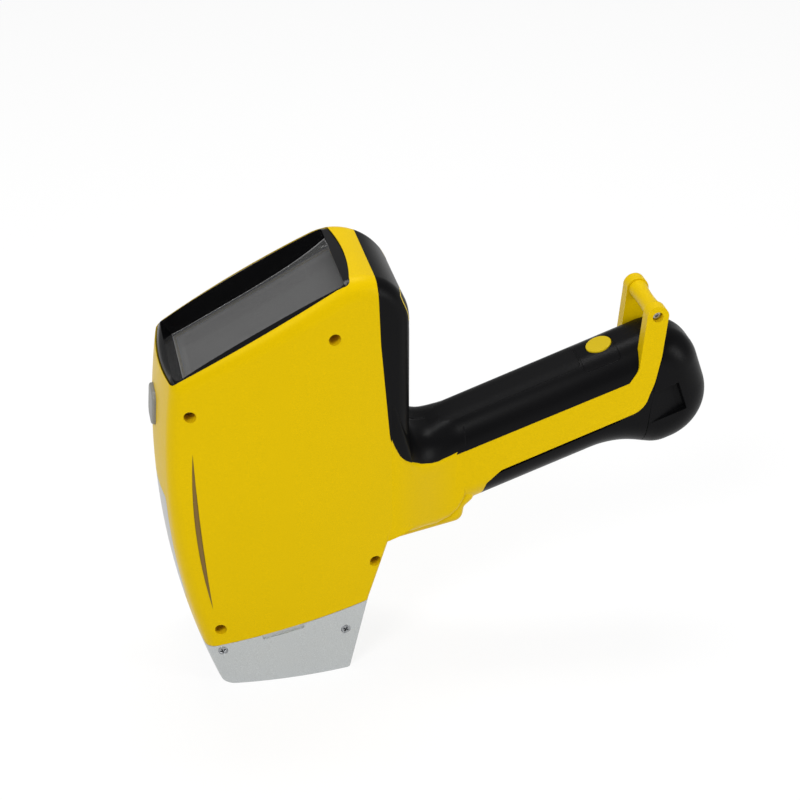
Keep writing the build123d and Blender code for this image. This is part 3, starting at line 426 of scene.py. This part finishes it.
innerAlloy = {
    "tone": (0.5, 0.5, 0.5), "wornTone": (0.7, 0.7, 0.7), "rough": 0.4, "metal": 1.0, "bump": 0.1,
    "marks": 0.3,
}
alloyNodes = ("engine_block", "filter_wheel", "chassis", "high_voltage_supply", "heat_sink")
dress(moulded("innerAlloyMilled", innerAlloy), *alloyNodes)

innerBrass = {"tone": (0.5, 0.36, 0.12), "rough": 0.3, "metal": 1.0, "bump": 0.05}
dress(moulded("innerBrassTurned", innerBrass), "tube_shield", "filter_pinion", "board_standoffs")

tubeGlaze = {"tone": (0.75, 0.74, 0.70), "rough": 0.25, "bump": 0.05, "coat": 0.3}
dress(moulded("tubeGlazeCeramic", tubeGlaze), "xray_tube")

boardLaminate = {"tone": (0.015, 0.11, 0.04), "rough": 0.35, "swing": 0.2, "driftScale": 90.0, "bump": 0.1}
dress(moulded("boardLaminateGreen", boardLaminate), "main_board", "button_board")

packSleeve = {"tone": (0.03, 0.03, 0.035), "rough": 0.35, "bump": 0.12, "peel": 120.0}
dress(moulded("packSleeveShrink", packSleeve), "battery_pack")

mouldedBlack = {"tone": (0.02, 0.02, 0.02), "rough": 0.3, "bump": 0.1}
dress(moulded("mouldedBlackNylon", mouldedBlack), "battery_contacts", "trigger_switch")

windowFoil = {"tone": (0.36, 0.19, 0.04), "rough": 0.18, "bump": 0.05, "coat": 0.4}
dress(moulded("windowFoilAmber", windowFoil), "window_film")

lcdPanel = {"tone": (0.135, 0.135, 0.135), "rough": 0.45, "swing": 0.12, "driftScale": 25.0, "bump": 0.05}
panelGrey = moulded("lcdPanelGrey", lcdPanel)


# Thin clear sheet: mostly let through, with a light haze of its own and a sharp gloss.
def clearSheet(name, s):
    mat, tree, surface = freshMaterial(name)
    where = place(tree, "ShaderNodeTexCoord").outputs["Object"]
    wire(tree, surface, [
        ("Alpha", ramp(tree, noise(tree, where, s["hazeScale"]), cloudSpan, s["clear"])),
        ("Base Color", opaque(s["tone"])),
        ("Roughness", s["rough"]),
    ])
    return mat


displayGlass = {"tone": (0.10, 0.10, 0.10), "clear": (0.38, 0.42), "hazeScale": 9.0, "rough": 0.10}
glassClear = clearSheet("displayGlassClear", displayGlass)
print("finishes dressed")

# new pieces

mmPerMetre = 1000


# A mesh as a piece that rides on the instrument, in place of a node where one is named.
def addPiece(name, mesh, mat, node=None):
    mesh.materials.clear()
    mesh.materials.append(mat)
    piece = bpy.data.objects.new(name, mesh)
    bpy.context.collection.objects.link(piece)
    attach(piece, "instrument")
    if node:
        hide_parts(node)
    return piece


# A smooth mesh from vertex rows in metres and faces, both numpy arrays.
def smoothMesh(name, points, faces):
    mesh = bpy.data.meshes.new(name)
    mesh.from_pydata(points.tolist(), [], faces.tolist())
    mesh.validate()
    mesh.shade_smooth()
    return mesh


# Quads between neighbouring rows of a grid; closed rows join their last column to the first.
def gridFaces(rows, columns, closed=False):
    r, c = np.meshgrid(np.arange(rows - 1), np.arange(columns if closed else columns - 1), indexing="ij")
    n = (c + 1) % columns
    corners = [r * columns + c, r * columns + n, (r + 1) * columns + n, (r + 1) * columns + c]
    return np.stack(corners, axis=-1).reshape(-1, 4)


def thicken(piece, thick, offset):
    wall = piece.modifiers.new("wall", "SOLIDIFY")
    wall.thickness = thick
    wall.offset = offset


# The slope that the screen lies on: u runs up it from the middle, level stands square to it.
slope = {"tilt": 27.4, "middle": (-0.0075, 0.0, 0.21430)}


def ontoSlope(x, z):
    tilt = math.radians(slope["tilt"])
    dx, dz = x - slope["middle"][0], z - slope["middle"][2]
    return dx * math.cos(tilt) + dz * math.sin(tilt), dz * math.cos(tilt) - dx * math.sin(tilt)


def offSlope(u, level):
    tilt = math.radians(slope["tilt"])
    x = slope["middle"][0] + u * math.cos(tilt) - level * math.sin(tilt)
    return x, slope["middle"][2] + u * math.sin(tilt) + level * math.cos(tilt)


screenFilm = {
    "level": -0.01298, "half": (0.0478, 0.0314), "cells": (150, 110), "thick": 0.00015,
    "edgeLift": 0.0009, "cornerLift": 0.0052, "cornerPower": 5, "liftFrom": 0.0225, "drawIn": 0.25,
    "endLift": 0.0005, "endFrom": 0.041,
    "tone": (0.60, 0.60, 0.60), "clear": (0.05, 0.07), "hazeScale": 12.0, "rough": 0.08,
    # rim and its share give the width and strength of the painted highlight along the film's cut edge
    "rim": 0.00055, "rimHighlightShare": 0.38, "uvScale": 10.0,
}


# A painted highlight on the cut rim: alpha, and with it the film's grey tone, grows where the distance to
# the nearest edge is small.
def paintRimHighlight(mat, s):
    tree = mat.node_tree
    surface = tree.nodes["Principled BSDF"]
    spot = place(tree, "ShaderNodeUVMap", uv_map="sheet").outputs["UV"]
    mirrored = place(tree, "ShaderNodeVectorMath", [(0, spot)], operation="ABSOLUTE").outputs[0]
    axes = place(tree, "ShaderNodeSeparateXYZ", [(0, mirrored)]).outputs
    inU = maths(tree, "SUBTRACT", s["half"][0] * s["uvScale"], axes["X"])
    inV = maths(tree, "SUBTRACT", s["half"][1] * s["uvScale"], axes["Y"])
    # painted highlight mask: 1 at the film's edge, falling to 0 over the rim width
    rim = ramp(tree, maths(tree, "MINIMUM", inU, inV), (s["rim"] * s["uvScale"], 0.0))
    haze = surface.inputs["Alpha"].links[0].from_socket
    wire(tree, surface, [("Alpha", maths(tree, "MULTIPLY_ADD", rim, s["rimHighlightShare"], haze, clamp=True))])


# The film is a flat rectangle whose far edge bends up with the square of its way past liftFrom,
# more and more towards one corner, and whose near end bends up a little the same way.
def makeScreenFilm(s):
    nu, nv = s["cells"]
    halfU, halfV = s["half"]
    u, v = np.meshgrid(np.linspace(-1, 1, nu) * halfU, np.linspace(-1, 1, nv) * halfV, indexing="ij")
    along = np.clip((u + halfU) / (2 * halfU), 0, 1)
    far = np.clip((v - s["liftFrom"]) / (halfV - s["liftFrom"]), 0, 1)
    end = np.clip((-u - s["endFrom"]) / (halfU - s["endFrom"]), 0, 1)
    rise = far**2 * (s["edgeLift"] + s["cornerLift"] * along ** s["cornerPower"]) + s["endLift"] * end**2
    x, z = offSlope(u, s["level"] + rise)
    points = np.stack([x, v - s["drawIn"] * rise, z], axis=-1).reshape(-1, 3)
    mesh = smoothMesh("screenFilmSheet", points, gridFaces(nu, nv))
    mat = clearSheet("screenFilmClear", s)
    film = addPiece("screenFilmSheet", mesh, mat, "screen_film")
    corner = np.empty(len(mesh.loops), dtype=np.int32)
    mesh.loops.foreach_get("vertex_index", corner)
    flat = np.stack([u.reshape(-1), v.reshape(-1)], axis=-1) * s["uvScale"]
    layer = mesh.uv_layers.new(name="sheet")
    layer.uv.foreach_set("vector", flat[corner].reshape(-1).astype(np.float32))
    thicken(film, s["thick"], 0.0)
    paintRimHighlight(mat, s)


makeScreenFilm(screenFilm)
print("screen film laid")

noseScrew = {
    "spots": ((-0.0343, 0.0228), (0.0335, 0.0266)), "faces": (0.03860, 0.03870), "turns": (0.42, 1.05),
    "radius": 0.0026, "crown": 0.00045, "shank": 0.0015, "neck": 0.0013, "reach": 0.0140,
    "armWide": 0.00044, "armLong": 0.00150, "armDeep": 0.0016, "armSoft": 0.00010, "endSoft": 0.00030,
    "rings": 44, "sectors": 120,
}


# How far points lie inside one arm of the cross, from 0 to 1 over its soft sides and ends.
def insideArm(s, wide, long):
    over = np.clip((s["armWide"] - np.abs(wide)) / s["armSoft"] + 0.5, 0, 1)
    return over * np.clip((s["armLong"] - np.abs(long)) / s["endSoft"] + 0.5, 0, 1)


# A head is a shallow dome less a cross: two bars with soft sides, each sunk by armDeep. Below it a
# cone runs in to the shank, which ends flat.
def screwPoints(s, turn):
    r = np.linspace(0.0, 1.0, s["rings"])[:, None] * s["radius"]
    a = np.linspace(0.0, 2 * math.pi, s["sectors"], endpoint=False)[None, :]
    x, z = r * np.cos(a), r * np.sin(a)
    p, q = x * math.cos(turn) + z * math.sin(turn), z * math.cos(turn) - x * math.sin(turn)
    sunk = np.maximum(insideArm(s, p, q), insideArm(s, q, p)) * s["armDeep"]
    lift = s["crown"] * (1 - (r / s["radius"]) ** 2) - sunk
    low = np.array([[s["shank"], -s["neck"]], [s["shank"], -s["reach"]], [0.0, -s["reach"]]])
    lowX, lowZ = low[:, :1] * np.cos(a), low[:, :1] * np.sin(a)
    lowLift = np.repeat(low[:, 1:], s["sectors"], axis=1)
    return np.concatenate([x, lowX]), np.concatenate([lift, lowLift]), np.concatenate([z, lowZ])


def makeNoseScrews(s, mat):
    points, faces, count = [], [], 0
    for side in (-1, 1):
        for (cx, cz), face, turn in zip(s["spots"], s["faces"], s["turns"]):
            x, lift, z = screwPoints(s, turn)
            quads = gridFaces(len(x), s["sectors"], closed=True)
            points.append(np.stack([cx + x, side * (face + lift), cz + z], axis=-1).reshape(-1, 3))
            faces.append((quads if side > 0 else quads[:, ::-1]) + count)
            count += x.size
    mesh = smoothMesh("noseScrewHeads", np.concatenate(points), np.concatenate(faces))
    addPiece("noseScrewHeads", mesh, mat, "nose_screws")


chromeScrew = {
    "tone": (0.30, 0.31, 0.32), "wornTone": (0.8, 0.8, 0.8), "rough": 0.16, "metal": 1.0, "swing": 0.1,
    "cells": 6000.0, "bump": 0.04, "wear": 0.3, "marks": 0.1,
}
makeNoseScrews(noseScrew, moulded("chromeScrewSteel", chromeScrew))
print("nose screws turned")

screenWell = {
    "gain": 0.0046, "ramp": 0.040, "depth": 0.0113, "wallEnd": 0.0500, "wallFade": 0.002,
    "join": 1e-6, "sharp": 30.0,
}


# A copy of a solid in the screen well, drawn out along the slope towards both short ends. A full one
# gains the whole length; otherwise the gain grows with the depth and fades before the outer walls.
def makeLonger(s, node, mat, full):
    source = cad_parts[node]
    mesh = source.data.copy()
    joined = bmesh.new()
    joined.from_mesh(mesh)
    bmesh.ops.remove_doubles(joined, verts=joined.verts, dist=s["join"])
    joined.to_mesh(mesh)
    joined.free()
    count = len(mesh.vertices)
    flat = np.empty(count * 3, dtype=np.float32)
    mesh.vertices.foreach_get("co", flat)
    spot = (np.array(source.matrix_world)[:3, :3] @ flat.reshape(-1, 3).T).T.astype(np.float64)
    u, level = ontoSlope(spot[:, 0], spot[:, 2])
    deep = np.ones(count) if full else np.clip(-level / s["depth"], 0, 1)
    inner = np.ones(count) if full else np.clip((s["wallEnd"] - np.abs(u)) / s["wallFade"], 0, 1)
    u = u + s["gain"] * deep * inner * np.clip(u / s["ramp"], -1, 1)
    spot[:, 0], spot[:, 2] = offSlope(u, level)
    mesh.vertices.foreach_set("co", spot.reshape(-1).astype(np.float32))
    if "custom_normal" in mesh.attributes:
        mesh.attributes.remove(mesh.attributes["custom_normal"])
    mesh.shade_smooth()
    mesh.set_sharp_from_angle(angle=math.radians(s["sharp"]))
    mesh.update()
    addPiece(node + "Long", mesh, mat, node)


makeLonger(screenWell, "screen_bezel", framePlastic, False)
makeLonger(screenWell, "display_glass", glassClear, True)
makeLonger(screenWell, "lcd_panel", panelGrey, True)
print("screen drawn out")

# from, wide, height and path in mm; the path is half of the loop, in Y and Z
rearStripe = {
    "path": (
        (0.0, 219.0), (-10.0, 220.0), (-18.0, 222.0), (-22.5, 223.6), (-25.5, 224.2), (-28.6, 223.0),
        (-29.3, 220.0), (-29.1, 216.5), (-28.4, 213.0), (-27.9, 208.0), (-20.0, 213.0), (0.0, 213.0),
    ),
    "from": 85.0, "wide": 0.55, "height": 0.12, "steps": 700, "rows": 3, "blur": (-2, -1, 0, 1, 2),
}


# A ribbon along a closed path in Y and Z, mirrored in Y, then laid on the cover along -X.
def makeRearStripe(s, mat):
    half = np.array(s["path"])
    loop = np.concatenate([half, (half * (-1, 1))[::-1][1:-1]])
    ends = np.concatenate([loop, loop[:1]])
    run = np.concatenate([[0.0], np.cumsum(np.hypot(*np.diff(ends, axis=0).T))])
    at = np.linspace(0.0, run[-1], s["steps"], endpoint=False)
    y, z = (np.interp(at, run, ends[:, axis]) for axis in (0, 1))
    y, z = (sum(np.roll(q, shift) for shift in s["blur"]) / len(s["blur"]) for q in (y, z))
    ty, tz = (np.roll(q, -1) - np.roll(q, 1) for q in (y, z))
    length = np.hypot(ty, tz)
    across = np.linspace(-0.5, 0.5, s["rows"])[:, None] * s["wide"]
    rowsY, rowsZ = y - across * tz / length, z + across * ty / length
    points = np.stack([np.full_like(rowsY, s["from"]), rowsY, rowsZ], axis=-1).reshape(-1, 3) / mmPerMetre
    mesh = smoothMesh("rearStripe", points, gridFaces(s["rows"], s["steps"], closed=True)[:, ::-1])
    lay = addPiece("rearStripe", mesh, mat, "trim_line").modifiers.new("lay", "SHRINKWRAP")
    lay.wrap_method = "PROJECT"
    lay.use_project_x = True
    lay.use_negative_direction = True
    lay.use_positive_direction = False
    lay.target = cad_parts["rear_cover"]
    lay.offset = s["height"] / mmPerMetre


makeRearStripe(rearStripe, linePaint)

# all in mm; low and seam are heights along X
rootSkin = {
    "span": (59.5, 104.0), "wide": (33.92, 20.40), "narrowing": (61.0, 101.0), "wall": 71.6,
    "blend": 16.0, "top": 126.95, "slope": 0.3502, "climb": 3.0, "corner": (9.0, 19.0, 16.6),
    "nearRun": 8.0, "farRun": 22.0, "underRound": 6.0, "inner": 15.0,
    "low": (
        (59.5, 76.5), (62.0, 78.0), (65.0, 78.8), (71.0, 78.4), (80.0, 77.4), (88.0, 75.8),
        (95.5, 77.0), (100.0, 80.5), (104.0, 88.0),
    ),
    "seam": (
        (59.5, 145.0), (62.0, 137.5), (65.0, 131.0), (68.0, 127.4), (71.5, 124.8), (77.8, 120.6),
        (84.0, 118.6), (88.0, 118.2), (95.5, 119.4), (100.0, 120.9), (104.0, 122.2),
    ),
    "grid": (90, 26), "levelRows": 7, "thick": 0.8,
}


# The handle's root, by sections across X. Each runs level under the root, round its lower edge, up
# the side, round the top corner and level to the middle. Its half width falls along an S-curve, and
# its top rises in a quarter circle to the rear wall. The seam's height cuts it into two colours.
def rootSection(s, x, z):
    ease = np.clip((x - s["narrowing"][0]) / (s["narrowing"][1] - s["narrowing"][0]), 0, 1)
    wide = s["wide"][0] + (s["wide"][1] - s["wide"][0]) * ease * ease * (3 - 2 * ease)
    past = x - s["wall"]
    away = np.clip(past, 0, s["blend"])
    top = s["top"] + past * s["slope"] + s["blend"] - np.sqrt(s["blend"] ** 2 - (s["blend"] - away) ** 2)
    top = top + np.clip(-past, 0, None) * s["climb"]
    far = np.clip(past / s["farRun"], 0, 1)
    near = np.clip((past + s["nearRun"]) / s["nearRun"], 0, 1)
    first, middle, last = s["corner"]
    corner = (first + (middle - first) * near) * (1 - far) + last * far
    low = np.interp(x, *np.array(s["low"]).T)
    over = np.clip((z - (top - corner)) / corner, 0, 1)
    under = np.clip((low + s["underRound"] - z) / s["underRound"], 0, 1)
    y = wide - corner * (1 - np.sqrt(1 - over**2)) - s["underRound"] * (1 - np.sqrt(1 - under**2))
    return y, top, low


def makeRootSkin(s, name, upper, mat):
    nx, nz = s["grid"]
    x, q = np.meshgrid(np.linspace(*s["span"], nx), np.linspace(0, 1, nz), indexing="ij")
    seam = np.interp(x, *np.array(s["seam"]).T)
    _, top, low = rootSection(s, x, seam)
    turn = np.cos(q * math.pi / 2)
    z = top - (top - seam) * turn if upper else low + (seam - low) * (1 - turn)
    y = rootSection(s, x, z)[0]
    steps = np.linspace(0, 1, s["levelRows"] + 1)[None, 1:]
    edge = [-1] if upper else [0]
    if upper:  # the last rows cross to the middle
        extraY = y[:, edge] * (1 - steps)
    else:  # the first rows run in under the root
        extraY = s["inner"] + (y[:, edge] - s["inner"]) * (steps - steps[0, 0])
    extraX, extraZ = (np.repeat(q[:, edge], s["levelRows"], axis=1) for q in (x, z))
    pairs = ((x, extraX), (y, extraY), (z, extraZ))
    x, y, z = (np.concatenate(pair if upper else pair[::-1], axis=1) for pair in pairs)
    quads = gridFaces(*x.shape)
    points = [np.stack([x, side * y, z], axis=-1).reshape(-1, 3) / mmPerMetre for side in (-1, 1)]
    mesh = smoothMesh(name, np.concatenate(points), np.concatenate([quads[:, ::-1], quads + x.size]))
    thicken(addPiece(name, mesh, mat), s["thick"] / mmPerMetre, -1.0)


makeRootSkin(rootSkin, "rootSkinYellow", False, yellowSkin)
makeRootSkin(rootSkin, "rootSkinBlack", True, blackSkin)
print("stripe and root skin laid")
